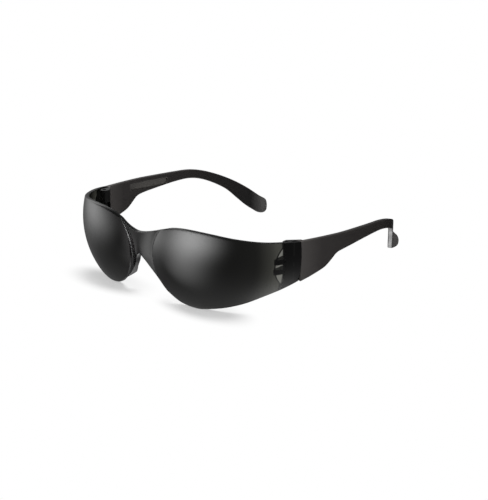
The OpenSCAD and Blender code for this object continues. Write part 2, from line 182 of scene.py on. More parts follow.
# %% The edges of one eye
EDGE_BULGE = 0.35
BROW_PEAK = 43.4 - EDGE_BULGE
BROW_NOSE = 40.5 - EDGE_BULGE
BROW_HINGE = 36.4 - EDGE_BULGE
LOW_HINGE = 15.2 + EDGE_BULGE
LOW_EDGE = EDGE_BULGE
FLANGE_LOW = 6.6
NOSE_ARC_X = 33.1
NOSE_ARC_Z = 24
NOSE_ARC_R = 24.9


def nose_arc(t):
    """A point (x, z) of the arc beside the nose, from the brow down to the flange's end."""
    start = math.degrees(math.asin((BROW_NOSE - NOSE_ARC_Z) / NOSE_ARC_R))
    end = math.degrees(math.asin((FLANGE_LOW - NOSE_ARC_Z) / NOSE_ARC_R))
    a = mix(start, end, t)
    return (NOSE_ARC_X - NOSE_ARC_R * cos(a), NOSE_ARC_Z + NOSE_ARC_R * sin(a))


brow_line = [
    (dome_angle(nose_arc(0)[0], BROW_NOSE), BROW_NOSE),
    (0, mix(BROW_HINGE, BROW_PEAK, 0.88)),
    (11, BROW_PEAK),
    (26, mix(BROW_HINGE, BROW_PEAK, 0.9)),
    (42, mix(BROW_HINGE, BROW_PEAK, 0.62)),
    (58, mix(BROW_HINGE, BROW_PEAK, 0.34)),
    (72, mix(BROW_HINGE, BROW_PEAK, 0.16)),
    (hinge_angle(BROW_HINGE), BROW_HINGE),
]
low_line = [
    (dome_angle(nose_arc(1)[0], FLANGE_LOW), FLANGE_LOW),
    (1, mix(LOW_EDGE, LOW_HINGE, 0.12)),
    (14, LOW_EDGE),
    (24, mix(LOW_EDGE, LOW_HINGE, 0.07)),
    (36, mix(LOW_EDGE, LOW_HINGE, 0.2)),
    (48, mix(LOW_EDGE, LOW_HINGE, 0.39)),
    (60, mix(LOW_EDGE, LOW_HINGE, 0.64)),
    (72, mix(LOW_EDGE, LOW_HINGE, 0.84)),
    (hinge_angle(LOW_HINGE), LOW_HINGE),
]
print("brow from", round(brow_line[0][0], 1), "to", round(brow_line[-1][0], 1), "degrees")

# %% [markdown]
# The patch fills the space between these edges. A straight fill from the nose arc to the
# hinge edge comes first. Then each point moves by what the brow adds to that fill above it,
# and by what the lower edge adds below it. The inner face of the wall is the same patch on a
# smaller sphere.

# %% The patch on the sphere
def pair_mix(p, q, t):
    return (mix(p[0], q[0], t), mix(p[1], q[1], t))


def dome_patch(s, t, depth=0):
    """A point of the sphere: s runs from nose to hinge, t from the brow down."""

    def nose(t):
        x, z = nose_arc(t)
        return (dome_angle(x, z), z)

    def rear(t, inside):
        z = mix(BROW_HINGE, LOW_HINGE, t)
        return (hinge_angle(z, inside), z)

    def edge(line, t):
        a = mix(line[0][0], line[-1][0], s)
        shift = s * (rear(t, depth)[0] - rear(t, 0)[0])
        return (a + shift, smooth(line, a))

    brow, low = edge(brow_line, 0), edge(low_line, 1)
    across = pair_mix(nose(t), rear(t, depth), s)
    brow_chord = pair_mix(nose(0), rear(0, depth), s)
    low_chord = pair_mix(nose(1), rear(1, depth), s)
    a, z = (
        across[k] + mix(brow[k] - brow_chord[k], low[k] - low_chord[k], t) for k in (0, 1)
    )
    r = dome_ring(z, depth)
    return (DOME_X + r * sin(a), DOME_R - r * cos(a), z)


print("a point of the sphere", [round(c, 1) for c in dome_patch(0.3, 0.4)])

# %% [markdown]
# The bridge is a shallow saddle between the two spheres. Its top edge dips, and its lower
# edge is the notch over the nose. It stands a little in front of the spheres at the top and
# leans back towards the nose, and beside each sphere it drops into the crease. The first
# point of each line lies on the other half, which keeps the line level in the middle.

# %% The edges of the bridge
BRIDGE_TOP = 37 - EDGE_BULGE
NOTCH_TOP = 24.4
CREASE_W = 0.5

top_x = nose_arc(0)[0] - CREASE_W
low_x = nose_arc(1)[0] - CREASE_W
bridge_line = [
    (-0.35 * top_x, mix(BRIDGE_TOP, BROW_NOSE, 0.22)),
    (0, BRIDGE_TOP),
    (0.35 * top_x, mix(BRIDGE_TOP, BROW_NOSE, 0.22)),
    (0.7 * top_x, mix(BRIDGE_TOP, BROW_NOSE, 0.6)),
    (top_x, BROW_NOSE),
]
notch_line = [
    (-0.19 * low_x, mix(NOTCH_TOP, FLANGE_LOW, 0.15)),
    (0, NOTCH_TOP),
    (0.19 * low_x, mix(NOTCH_TOP, FLANGE_LOW, 0.15)),
    (0.34 * low_x, mix(NOTCH_TOP, FLANGE_LOW, 0.36)),
    (0.55 * low_x, mix(NOTCH_TOP, FLANGE_LOW, 0.6)),
    (0.78 * low_x, mix(NOTCH_TOP, FLANGE_LOW, 0.83)),
    (low_x, FLANGE_LOW),
]
print("half the bridge is", round(top_x, 1), "mm wide above,", round(low_x, 1), "mm below")

# %% [markdown]
# The lean line says how far back the middle of the bridge lies, over its height from the
# flange's end (0) to the top (1). The crease is deepest half way down and fades out at both
# ends. On the inside of the wall the patch shifts a little aside, so that the wall keeps its
# thickness through the crease.

# %% The patch over the bridge
BRIDGE_STAND = 0.8
CREASE_DEPTH = 1.6
CREASE_FULLNESS = 0.8
WALL_SHIFT = 1.4
lean_line = [(0, 6.3), (0.18, 5.3), (0.38, 3.5), (0.59, 1.3), (1, 0), (1.2, 0)]


def bridge_patch(u, t, depth=0):
    """A point of the bridge: u runs from the middle to the crease, t downwards."""

    def crease(t):
        x, z = nose_arc(t)
        return (x - CREASE_W, z)

    top = (u * top_x, smooth(bridge_line, u * top_x))
    low = (u * low_x, smooth(notch_line, u * low_x))
    top_chord = pair_mix((0, BRIDGE_TOP), crease(0), u)
    low_chord = pair_mix((0, NOTCH_TOP), crease(1), u)
    across = pair_mix((0, mix(BRIDGE_TOP, NOTCH_TOP, t)), crease(t), u)
    x, z = (
        across[k] + mix(top[k] - top_chord[k], low[k] - low_chord[k], t) for k in (0, 1)
    )
    height = (z - FLANGE_LOW) / (BRIDGE_TOP + EDGE_BULGE - FLANGE_LOW)
    middle = smooth(lean_line, height) - BRIDGE_STAND
    arc_x, arc_z = nose_arc(t)
    drop = CREASE_DEPTH * max(sin(180 * t), 0) ** CREASE_FULLNESS
    beside = dome_front(arc_x, arc_z) + drop
    aside = WALL_SHIFT / 2 * u if depth else 0
    return (x + aside, mix(middle, beside, u * u) + depth, z)


print("the top of the notch", [round(c, 1) for c in bridge_patch(0, 1)])

# %% [markdown]
# ### A skin rolled from a grid
# Cut through the lens or a temple anywhere, and the cut shows one closed line round the
# wall. So each is modelled as a grid that is rolled up: every column of the grid becomes one
# such closed line, and its two ends are closed with a face. Long, even rows of faces mirror
# and bend light without dents, and the rounded edges are part of the line.

# %% Selecting pieces, and points between points
def deselect():
    if bpy.context.object and bpy.context.object.mode != "OBJECT":
        bpy.ops.object.mode_set(mode="OBJECT")
    bpy.ops.object.select_all(action="DESELECT")


def pick(*objects):
    """Select these objects and nothing else. The first one is the active one."""
    deselect()
    for obj in objects:
        obj.select_set(True)
    bpy.context.view_layer.objects.active = objects[0]


def name_it(obj, name):
    obj.name = name
    obj.data.name = name
    return obj


def add(p, q, k=1):
    """The point p moved by k times q."""
    return tuple(a + k * b for a, b in zip(p, q))


def between(p, q, t):
    return tuple(mix(a, b, t) for a, b in zip(p, q))


def unit(p, q):
    """The direction from q to p."""
    length = math.dist(p, q)
    return tuple((a - b) / length for a, b in zip(p, q))


print("half way between two points", between((0, 0, 0), (2, 4, 6), 0.5))

# %% [markdown]
# The grid starts flat. Each of its points moves to its place on a line, the seam where the
# lines close is welded, and each open end gets a face.

# %% A closed skin from rings of points
WELD = 0.001 * MM


def rolled_grid(name, rings):
    """A closed skin over rings of points in millimetres, rolled up from one grid."""
    columns, rows = len(rings) - 1, len(rings[0])
    deselect()
    bpy.ops.mesh.primitive_grid_add(x_subdivisions=columns, y_subdivisions=rows, size=2)
    skin = name_it(bpy.context.object, name)
    for vertex in skin.data.vertices:
        column = round((vertex.co.x + 1) / 2 * columns)
        row = round((1 - vertex.co.y) / 2 * rows)
        vertex.co = place(*rings[column][row % rows])
    bpy.ops.object.mode_set(mode="EDIT")
    bpy.ops.mesh.select_all(action="SELECT")
    bpy.ops.mesh.remove_doubles(threshold=WELD)
    bpy.ops.mesh.select_all(action="DESELECT")
    bpy.ops.mesh.select_mode(type="EDGE")
    bpy.ops.mesh.select_non_manifold()
    bpy.ops.mesh.edge_face_add()
    bpy.ops.object.mode_set(mode="OBJECT")
    print(name, columns, "columns of", rows, "points")
    return skin


# %% [markdown]
# Along the brow and under the eyes the wall ends in a low round. Its bulge stays a hair below
# its full height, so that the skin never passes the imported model's box.

# %% The low round at the edge of the wall
EDGE_REACH = 0.975 * EDGE_BULGE
EDGE_FULLNESS = 0.6


def round_edge(outer, inner, way, steps):
    """Points over the low round between two faces of the wall."""
    points = []
    for k in range(1, steps + 1):
        a = 180 * k / (steps + 1)
        middle = between(outer, inner, (1 - cos(a)) / 2)
        points.append(add(middle, way, EDGE_REACH * sin(a) ** EDGE_FULLNESS))
    return points


print("the edge bulges by", round(EDGE_REACH, 2), "mm")

# %% [markdown]
# Along the notch the wall turns back into a flange, which rests on the nose. Its depth
# changes from the middle (0) to the crease (1), and the point before the middle only sets
# the slope there. The flange has four rounded corners: the fold at the front, two at its rim
# and the fold behind, where the inner face begins. The last one stops a step short, because
# that face has a point there.

# %% The flange over the nose
FLANGE_DEPTHS = [(-0.3, 4.5), (0, 4), (0.3, 3.2), (0.55, 3.2), (0.8, 5), (1, 6)]
FLANGE_T = 2.4
FLANGE_STEPS = 5
CORNERS = (0.6, 0.8, 0.8, 1.2)


def flange_edge(before, outer, inner, after, depth):
    """Points along the flange: back from the notch, round its rim and forward again."""
    back = (0, 1, 0)
    corners = [outer, add(outer, back, depth), add(inner, back, depth - LENS_WALL), inner]
    stops = [before, *corners, after]
    points = []
    for k, radius in enumerate(CORNERS):
        corner = corners[k]
        start = add(corner, unit(stops[k], corner), radius)
        end = add(corner, unit(stops[k + 2], corner), radius)
        spans = FLANGE_STEPS + 1 if corner is inner else FLANGE_STEPS
        for step in range(1, FLANGE_STEPS + 1):
            t = step / spans
            curve = between(between(start, corner, t), between(corner, end, t), t)
            points.append(curve)
    return points


print("the flange is", FLANGE_T, "mm thick and has", len(CORNERS), "rounded corners")

# %% [markdown]
# One line round the lens wall runs down the front, round the lower end, up the inner face
# and over the top edge. Beside the sphere the flange runs out into the round edge, so the
# lower end of each line is a mixture of the two, and both have the same number of points.
# The way that an edge faces is taken from the last 2 % of the wall.

# %% One line round the lens wall
LENS_ROWS = 48
BROW_STEPS = 8
EDGE_STEPS = len(CORNERS) * FLANGE_STEPS
NEAR = 0.02


def lens_line(front, back, rim, depth):
    """One closed line. rim is 1 where the flange is full and 0 where there is none, and
    depth is how far back the flange reaches."""
    low_way = unit(front(1), front(1 - NEAR))
    low = round_edge(front(1), back(1), low_way, EDGE_STEPS)
    front_end, back_end = 1, 1
    if rim > 0:
        length = math.dist(front(0), front(1))
        front_end = 1 - rim * CORNERS[0] / length
        back_end = 1 - rim * (FLANGE_T + CORNERS[3]) / length
        inner = back(1 - rim * FLANGE_T / length)
        flange = flange_edge(front(front_end), front(1), inner, back(back_end), depth)
        low = [between(p, q, rim) for p, q in zip(low, flange)]
    outside = [front(front_end * k / LENS_ROWS) for k in range(LENS_ROWS + 1)]
    inside = [back(back_end * k / LENS_ROWS) for k in range(LENS_ROWS, -1, -1)]
    top = round_edge(back(0), front(0), unit(front(0), front(NEAR)), BROW_STEPS)
    return outside + low + inside + top


print("a line has", 2 * (LENS_ROWS + 1) + EDGE_STEPS + BROW_STEPS, "points")

# %% [markdown]
# ### Half of the lens
# Over the bridge the flange is full, and it fades out over the last fifth of the way to the
# crease. Over the sphere there is none, and the inner face starts a little later than the
# outer one, where the bridge's inner face ends.

# %% Lines over the bridge and the sphere
FLANGE_FADE = 0.2
dome_sweep = math.radians(hinge_angle(DOME_Z) - dome_angle(nose_arc(0.5)[0], DOME_Z))
back_start = WALL_SHIFT / (dome_sweep * DOME_R)


def bridge_line_at(u):
    rim = min((1 - u) / FLANGE_FADE, 1)
    return lens_line(
        lambda t: bridge_patch(u, t),
        lambda t: bridge_patch(u, t, LENS_WALL),
        rim,
        smooth(FLANGE_DEPTHS, u),
    )


def dome_line_at(s):
    inner_s = mix(back_start, 1, s)
    return lens_line(
        lambda t: dome_patch(s, t), lambda t: dome_patch(inner_s, t, LENS_WALL), 0, 0
    )


print("the sphere's inner face starts", round(100 * back_start, 1), "% of the way round")

# %% [markdown]
# Where the bridge's flank meets the sphere, a small fillet rounds the valley, as a mould
# needs. It is a curve from the end of the flank to the sphere's edge, drawn towards the
# valley's bottom, and it catches the thin bright line that the photograph shows beside the
# nose.

# %% Lines over the fillet
FLANK_END = 0.84
FILLET_END = 0.97
flank, valley = bridge_line_at(FLANK_END), bridge_line_at(1)
sphere_side = [between(a, b, FILLET_END) for a, b in zip(valley, dome_line_at(0))]


def fillet_line_at(t):
    return [
        between(between(a, b, t), between(b, c, t), t)
        for a, b, c in zip(flank, valley, sphere_side)
    ]


print("the fillet is", round(math.dist(flank[0], sphere_side[0]), 1), "mm wide at the brow")

# %% [markdown]
# The lines follow one another from the middle of the bridge to the hinge edge, and roll up
# into one half of the lens. The sphere has the most, because it mirrors the room.

# %% Half of the lens
BRIDGE_COLUMNS = 20
CREASE_STEPS = 20
DOME_COLUMNS = 80
lens_lines = [bridge_line_at(FLANK_END * k / BRIDGE_COLUMNS) for k in range(BRIDGE_COLUMNS)]
lens_lines += [fillet_line_at(k / CREASE_STEPS) for k in range(CREASE_STEPS + 1)]
lens_lines += [dome_line_at(k / DOME_COLUMNS) for k in range(DOME_COLUMNS + 1)]
lens = rolled_grid("lens", lens_lines)
print("lens half", len(lens.data.polygons), "faces")

# %% [markdown]
# ### The hinge corner of the lens
# Behind each hinge the wall is thinned to a round window, which shows as a lighter arc
# through the dark lens. A relief beside it leaves room for the turning barrel. Two knuckles
# with pointed gussets grow from the wall and hold the pin. All these are cut or joined with
# booleans while the lens is still one half. The hinge's sizes serve the temple too.

# %% Sizes of the hinge
PIN_D = 2
PIN_LOW = 18
BARREL_D = 4.2
BARREL_GAP = 0.3
FOOT_D = 3
FOOT_H = 4
KNUCKLE_Z = 21.3
KNUCKLE_T = 2.6
KNUCKLE_PITCH = 5.2
KNUCKLE_GAP = 0.25
TEMPLE_TOP = 36.3
BLOCK_RISE = 0.1
BLOCK_LOW = 14.8

block_top = TEMPLE_TOP + BLOCK_RISE
foot_z = BLOCK_LOW + FOOT_H
knuckle_lows = (KNUCKLE_Z, KNUCKLE_Z + KNUCKLE_PITCH)
print("knuckles start at", knuckle_lows, "mm")

# %% [markdown]
# A modifier that is applied changes the mesh for good. A boolean with the exact solver cuts
# or joins two closed solids cleanly, and what is left over of the tool is thrown away.

# %% Cutting and joining
def apply_modifier(obj, kind, **settings):
    modifier = obj.modifiers.new(kind.lower(), kind)
    for key, value in settings.items():
        setattr(modifier, key, value)
    pick(obj)
    bpy.ops.object.modifier_apply(modifier=modifier.name)


def carve(obj, tool, operation="DIFFERENCE"):
    """Cut the tool out of obj, or join it on, and throw the tool away."""
    apply_modifier(obj, "BOOLEAN", operation=operation, solver="EXACT", object=tool)
    bpy.data.objects.remove(tool)


# %% [markdown]
# Round tools are cones or cylinders, added at their size and place. Most of them stand on the
# hinge's own line.

# %% Round tools
ROUND = 96


def rod(radius, start, end, radius_end=None):
    """A round rod or cone between two points in millimetres, along Z or X."""
    deselect()
    along_x = abs(end[0] - start[0]) > abs(end[2] - start[2])
    bpy.ops.mesh.primitive_cone_add(
        vertices=ROUND,
        radius1=radius * MM,
        radius2=(radius if radius_end is None else radius_end) * MM,
        depth=math.dist(start, end) * MM,
        location=place(*between(start, end, 0.5)),
        rotation=(0, math.radians(90) if along_x else 0, 0),
    )
    bpy.ops.object.transform_apply(location=True, rotation=True, scale=True)
    return bpy.context.object


def pivot_rod(radius, low, high, radius_high=None):
    """An upright rod or cone on the hinge's own line."""
    return rod(radius, (PIVOT_X, PIVOT_Y, low), (PIVOT_X, PIVOT_Y, high), radius_high)


print("round tools have", ROUND, "sides")

# %% [markdown]
# The other tools are solids between a low and a high ring of points. A cylinder with as many
# sides as the ring has points already has the right faces, so its points only need to move.

# %% Tools on an outline
def block(low, high):
    """A solid between two rings of points in millimetres, shaped from a cylinder."""
    deselect()
    bpy.ops.mesh.primitive_cylinder_add(vertices=len(low), radius=1, depth=2)
    obj = bpy.context.object
    for k, vertex in enumerate(obj.data.vertices):
        ring = low if vertex.co.z < 0 else high
        vertex.co = place(*ring[k // 2])
    pick(obj)
    bpy.ops.object.mode_set(mode="EDIT")
    bpy.ops.mesh.select_all(action="SELECT")
    bpy.ops.mesh.normals_make_consistent(inside=False)
    bpy.ops.object.mode_set(mode="OBJECT")
    return obj


def prism(outline, low, high):
    """An upright solid on a flat outline [(x, y), ...], from z = low to z = high."""
    return block([(x, y, low) for x, y in outline], [(x, y, high) for x, y in outline])


def oblong(x_range, y_range):
    """The outline of a rectangle."""
    (x0, x1), (y0, y1) = x_range, y_range
    return [(x0, y0), (x1, y0), (x1, y1), (x0, y1)]


print("the outline of a slab of 2 by 1", oblong((0, 2), (0, 1)))

# %% [markdown]
# The window's floor has to follow the sphere, or it would mirror the room in another way
# than the lens round it. So its cutter is a rod that first loses all that lies outside a
# sphere. That sphere is smaller than the lens's outer one by the wall that has to stay.

# %% The thin round window
WINDOW_R = 12.5
WINDOW_WALL = 1.3
WINDOW_BACK = 3.5
WINDOW_DROP = 0.3
WINDOW_REACH = (-8, 12)
SPHERE_RINGS = 128

window_z = (BROW_HINGE + LOW_HINGE) / 2 - WINDOW_DROP
window_y = PIVOT_Y + WINDOW_BACK
window = rod(WINDOW_R, *((PIVOT_X + x, window_y, window_z) for x in WINDOW_REACH))
deselect()
bpy.ops.mesh.primitive_uv_sphere_add(
    segments=2 * SPHERE_RINGS,
    ring_count=SPHERE_RINGS,
    radius=(DOME_R - WINDOW_WALL) * MM,
    location=place(DOME_X, DOME_R, DOME_Z),
)
inner_sphere = bpy.context.object
bpy.ops.object.transform_apply(location=True, rotation=True, scale=True)
carve(window, inner_sphere, "INTERSECT")
carve(lens, window)
print("window", 2 * WINDOW_R, "mm across and", WINDOW_WALL, "mm thick")

# %% [markdown]
# The barrel turns close to the wall, so the wall gives way to it. The relief is a rod a
# little larger than the barrel, and below it a cone that follows the barrel's thinner foot.

# %% Room for the barrel and its foot
RELIEF_H = 40
relief_r = BARREL_D / 2 + BARREL_GAP
foot_r = (2 * FOOT_D - BARREL_D) / 2 + BARREL_GAP
carve(lens, pivot_rod(relief_r, foot_z, foot_z + RELIEF_H))
carve(lens, pivot_rod(foot_r, foot_z - 2 * FOOT_H, foot_z, relief_r))
print("room of", round(relief_r, 2), "mm round the pivot")

# %% [markdown]
# A knuckle is a ring round the pin. Its gusset carries it: a flat plate that follows the
# inside of the wall and runs out to a point in front.

# %% Knuckles and pin hole
GUSSET_L = 8.5
GUSSET_TIP = 0.9
GUSSET_STEPS = 12


def wall_x(radius, y, z):
    """The outward reach of a sphere about a dome's centre, at a depth and a height."""
    return DOME_X + math.sqrt(radius**2 - (y - DOME_R) ** 2 - (z - DOME_Z) ** 2)


front_y = PIVOT_Y - GUSSET_L
rear_y = PIVOT_Y + BARREL_D / 2
depths = [mix(rear_y, front_y, i / GUSSET_STEPS) for i in range(GUSSET_STEPS + 1)]
for low in knuckle_lows:
    high = low + KNUCKLE_T
    mid = low + KNUCKLE_T / 2
    outline = [(wall_x(DOME_R - WINDOW_WALL / 2, y, mid), y) for y in depths] + [
        (wall_x(DOME_R - LENS_WALL, front_y, mid) - GUSSET_TIP, front_y),
        (PIVOT_X - BARREL_D / 2, PIVOT_Y),
        (PIVOT_X, rear_y),
    ]
    knuckle = prism(outline, low, high)
    carve(knuckle, pivot_rod(BARREL_D / 2, low, high), "UNION")
    carve(lens, knuckle, "UNION")
carve(lens, pivot_rod(PIN_D / 2, PIN_LOW, block_top))
print("lens half with hinge", len(lens.data.polygons), "faces")

# %% [markdown]
# ### The other half
# The faces in the middle plane go, the half is mirrored and the two meet in one skin. Smooth
# shading by angle keeps the sphere even and the moulded edges crisp.

# %% Mirror the lens
MIDDLE = 0.01 * MM
CRISP = math.radians(28)

pick(lens)
bpy.ops.object.mode_set(mode="EDIT")
bpy.ops.mesh.select_mode(type="FACE")
bpy.ops.mesh.select_all(action="DESELECT")
bpy.ops.object.mode_set(mode="OBJECT")
points = [vertex.co for vertex in lens.data.vertices]
for face in lens.data.polygons:
    face.select = all(abs(points[k].x) < MIDDLE for k in face.vertices)
bpy.ops.object.mode_set(mode="EDIT")
bpy.ops.mesh.delete(type="FACE")
bpy.ops.object.mode_set(mode="OBJECT")
apply_modifier(lens, "MIRROR", use_axis=(True, False, False), merge_threshold=MIDDLE)
pick(lens)
bpy.ops.object.shade_smooth_by_angle(angle=CRISP)
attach(lens, "front")
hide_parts("lens_front")
print("lens", len(lens.data.polygons), "faces")

# %% [markdown]
# ## The temples
# Each temple is one moulding of the same thickness all along. Seen from the side it starts
# as a tall panel, narrows to a slim neck and bends down over the ear into a round paddle.
# Seen from above it bows outwards and then curves in behind the head. So it is again a grid:
# its columns run along the top line, and its rows run down across the temple.

# %% Sizes of the temple
TEMPLE_T = 2.6
STOP_GAP = 0.3
PANEL_H = 21
PANEL_L = 28.5
ARM_H = 9.3
ARM_L = 62.5
ARM_SLOPE = 4
NECK_H = 5
NECK_BACK = 5
EAR_R = 69.5
EAR_ANGLE = 38.3
PADDLE_H = 8.3
PADDLE_END = 5.3
PIVOT_COVER = 3.2

panel_y = LENS_DEPTH + STOP_GAP
face_x = PIVOT_X + BARREL_D / 2 + PIVOT_COVER
inner_x = face_x - TEMPLE_T
paddle_r = PADDLE_H / 2
print("the panel starts", round(panel_y, 1), "mm back,", round(face_x, 1), "mm to the side")

# %% [markdown]
# The top line is straight, then an arc over the ear, then straight to the end. The paddle
# just reaches the table, which gives the length of the last part.

# %% The top line
bend_to = ARM_SLOPE + EAR_ANGLE
ear_l = EAR_R * math.radians(EAR_ANGLE)
bend_y = panel_y + ARM_L * cos(ARM_SLOPE)
bend_z = TEMPLE_TOP - ARM_L * sin(ARM_SLOPE)
paddle_y = bend_y + EAR_R * (sin(bend_to) - sin(ARM_SLOPE))
paddle_z = bend_z - EAR_R * (cos(ARM_SLOPE) - cos(bend_to))
end_drop = math.hypot(paddle_r * cos(bend_to), PADDLE_END * sin(bend_to))
end_reach = math.hypot(paddle_r * sin(bend_to), PADDLE_END * cos(bend_to))
paddle_l = (paddle_z - paddle_r * cos(bend_to) - end_drop) / sin(bend_to)
top_l = ARM_L + ear_l + paddle_l
tip_y = paddle_y + paddle_l * cos(bend_to) - paddle_r * sin(bend_to) + end_reach


def turn_at(s):
    """How steeply the top line falls, a way s along it."""
    return ARM_SLOPE + min(max((s - ARM_L) / ear_l, 0), 1) * EAR_ANGLE


def top_point(s):
    """The depth and the height of the top line, a way s along it."""
    if s <= ARM_L:
        return (panel_y + s * cos(ARM_SLOPE), TEMPLE_TOP - s * sin(ARM_SLOPE))
    if s <= ARM_L + ear_l:
        a = turn_at(s)
        y = bend_y + EAR_R * (sin(a) - sin(ARM_SLOPE))
        return (y, bend_z - EAR_R * (cos(ARM_SLOPE) - cos(a)))
    over = s - ARM_L - ear_l
    return (paddle_y + over * cos(bend_to), paddle_z - over * sin(bend_to))


def down_at(s):
    """The way down across the temple: upright at the front, then square to the arm."""
    a = ARM_SLOPE * s / PANEL_L if s < PANEL_L else turn_at(s)
    return (-sin(a), -cos(a))


print("temple length", round(tip_y - panel_y, 1), "mm")

# %% [markdown]
# The temple's height changes along the top line. Each point is a share of the stretch that it
# lies on, and a share of the step between two heights.

# %% The temple's height
neck_at = ARM_L + NECK_BACK


def heights(start, end, low, high, shares):
    """Points of the height line between two places and two heights."""
    return [(mix(start, end, f), mix(low, high, h)) for f, h in shares]


panel_shares = ((0, 1), (0.22, 0.87), (0.4, 0.745), (0.61, 0.58))
panel_shares += ((0.73, 0.4), (0.82, 0.23), (0.9, 0.085), (1, 0))
neck_shares = ((0.24, 0.68), (0.7, 0.18), (1, 0))
paddle_shares = ((0.25, 0), (0.53, 0.27), (0.74, 0.86), (0.89, 1.07), (1, 1))
height_line = (
    heights(0, PANEL_L, ARM_H, PANEL_H, panel_shares)
    + heights(PANEL_L, neck_at, NECK_H, ARM_H, neck_shares)
    + heights(neck_at, top_l, NECK_H, PADDLE_H, paddle_shares)
)
print("height at the neck", round(smooth(height_line, neck_at), 1), "mm")

# %% [markdown]
# Seen from above, the outer face first bows out, then swings in behind the head and flares
# a little at the very end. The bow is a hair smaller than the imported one, so that the skin
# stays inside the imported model's box.

# %% The temple's bow
BOW_OUT = 2.998
TIP_IN = 20.6
TIP_FLARE = 0.8

inwards_line = ((0.26, 0), (0.4, 0.02), (0.53, 0.06), (0.64, 0.125), (0.72, 0.25))
inwards_line += ((0.79, 0.455), (0.86, 0.685), (0.92, 0.89), (0.96, 1))
face_line = [(panel_y, face_x), (mix(panel_y, tip_y, 0.12), face_x + 0.59 * BOW_OUT)]
face_line += [
    (mix(panel_y, tip_y, f), mix(face_x + BOW_OUT, face_x - TIP_IN, inwards))
    for f, inwards in inwards_line
]
face_line.append((tip_y, face_x - TIP_IN + TIP_FLARE))


def face_lean(y):
    """How far the outer face leans outwards over one millimetre of depth."""
    return smooth(face_line, y + 0.5) - smooth(face_line, y - 0.5)


print("the ends stand", round(TIP_IN - TIP_FLARE, 1), "mm further in than the panels")

# %% [markdown]
# A line round the temple is an upright oblong with rounded corners, 2.6 mm thick. It is laid
# out flat first, as a drop down the temple and a depth into it, and then bent to the bow.

# %% One line round the temple
SIDE_STEPS = 12
CORNER_STEPS = 5
TEMPLE_EDGE = 0.5
NARROW_EDGE = 0.3


def temple_spot(y, z, depth):
    """A point at a depth into the temple from its outer face."""
    lean = face_lean(y)
    size = math.hypot(1, lean)
    return (smooth(face_line, y) - depth / size, y + depth * lean / size, z)


def temple_line(start, down, h, inset=0):
    """One closed line. A narrow end gets smaller corners, and an inset makes it smaller."""
    r = min(TEMPLE_EDGE, NARROW_EDGE * (h - 2 * inset))
    low = h - inset
    angles = [90 * k / CORNER_STEPS for k in range(CORNER_STEPS + 1)]
    side = [(inset + r * (1 - sin(a)), inset + r * (1 - cos(a))) for a in angles]
    side += [
        (inset, mix(inset + r, low - r, k / SIDE_STEPS)) for k in range(1, SIDE_STEPS)
    ]
    side += [(inset + r * (1 - cos(a)), low - r * (1 - sin(a))) for a in angles]
    side += [(TEMPLE_T - depth, drop) for depth, drop in reversed(side)]
    return [
        temple_spot(start[0] + down[0] * drop, start[1] + down[1] * drop, depth)
        for depth, drop in side
    ]


print("a line has", len(temple_line(top_point(0), down_at(0), PANEL_H)), "points")

# %% [markdown]
# The first lines grow from the panel's flat front over its rounded edge. The next follow the
# arm, and the last ones close the paddle along half an oval. The oval stops a little short of
# its end, where a line would have no height left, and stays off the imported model's box.

# %% The temple's skin
FRONT_COLUMNS = 5
ARM_COLUMNS = 150
TIP_COLUMNS = 22
TIP_TURN = 84
TIP_GAP = 0.05

temple_lines = []
for k in range(FRONT_COLUMNS):
    a = 90 * k / FRONT_COLUMNS
    start = top_point(TEMPLE_EDGE * (1 - cos(a)))
    temple_lines.append(temple_line(start, down_at(0), PANEL_H, TEMPLE_EDGE * (1 - sin(a))))
for k in range(ARM_COLUMNS + 1):
    s = mix(TEMPLE_EDGE, top_l, k / ARM_COLUMNS)
    temple_lines.append(temple_line(top_point(s), down_at(s), smooth(height_line, s)))
tip_down = down_at(top_l)
tip_centre = tuple(a + paddle_r * b for a, b in zip(top_point(top_l), tip_down))
for k in range(1, TIP_COLUMNS + 1):
    a = TIP_TURN * k / TIP_COLUMNS
    out, up = (PADDLE_END - TIP_GAP) * sin(a), paddle_r * cos(a)
    start = (
        tip_centre[0] + out * cos(bend_to) - up * tip_down[0],
        tip_centre[1] - out * sin(bend_to) - up * tip_down[1],
    )
    temple_lines.append(temple_line(start, tip_down, PADDLE_H * cos(a)))
temple = rolled_grid("temple_left_arm", temple_lines)
print("temple", len(temple.data.polygons), "faces")

# %% [markdown]
# On the inner face of the arm lies a shallow oblong pad, where such glasses carry their
# moulded marking. This pair has none, so the pad stays bare. Its outline is two half circles,
# turned to the slope of the arm and leaning with the bow.

# %% The bare pad
PAD_L = 30
PAD_H = 4.2
PAD_DEPTH = 0.3
PAD_AT = 34.8
PAD_UP = 0.6
PAD_STEPS = 24
PAD_TOOL = 2

pad_y = panel_y + PAD_AT
pad_z = TEMPLE_TOP - PAD_AT * sin(ARM_SLOPE) - ARM_H / 2 + PAD_UP
pad_x = smooth(face_line, pad_y) - TEMPLE_T + PAD_DEPTH
half_circles = [
    (side * (PAD_L - PAD_H) / 2 + PAD_H / 2 * sin(a), PAD_H / 2 * cos(a))
    for side, start in ((1, 0), (-1, 180))
    for a in (start + 180 * i / PAD_STEPS for i in range(PAD_STEPS + 1))
]
pad_ring = [
    (
        pad_y + along * cos(ARM_SLOPE) + across * sin(ARM_SLOPE),
        pad_z + across * cos(ARM_SLOPE) - along * sin(ARM_SLOPE),
    )
    for along, across in half_circles
]
pad_high = [(pad_x + face_lean(pad_y) * (y - pad_y), y, z) for y, z in pad_ring]
pad_low = [(x - PAD_TOOL, y, z) for x, y, z in pad_high]
carve(temple, block(pad_low, pad_high))
print("pad", PAD_L, "by", PAD_H, "mm")

# %% [markdown]
# The hinge block joins the panel to the pin: a barrel round the pin, with a thinner foot
# below, and a web that leads from it back into the panel. The web's lower end keeps further
# in, clear of the lens wall. Seen from above, each part of the web is a flat outline.

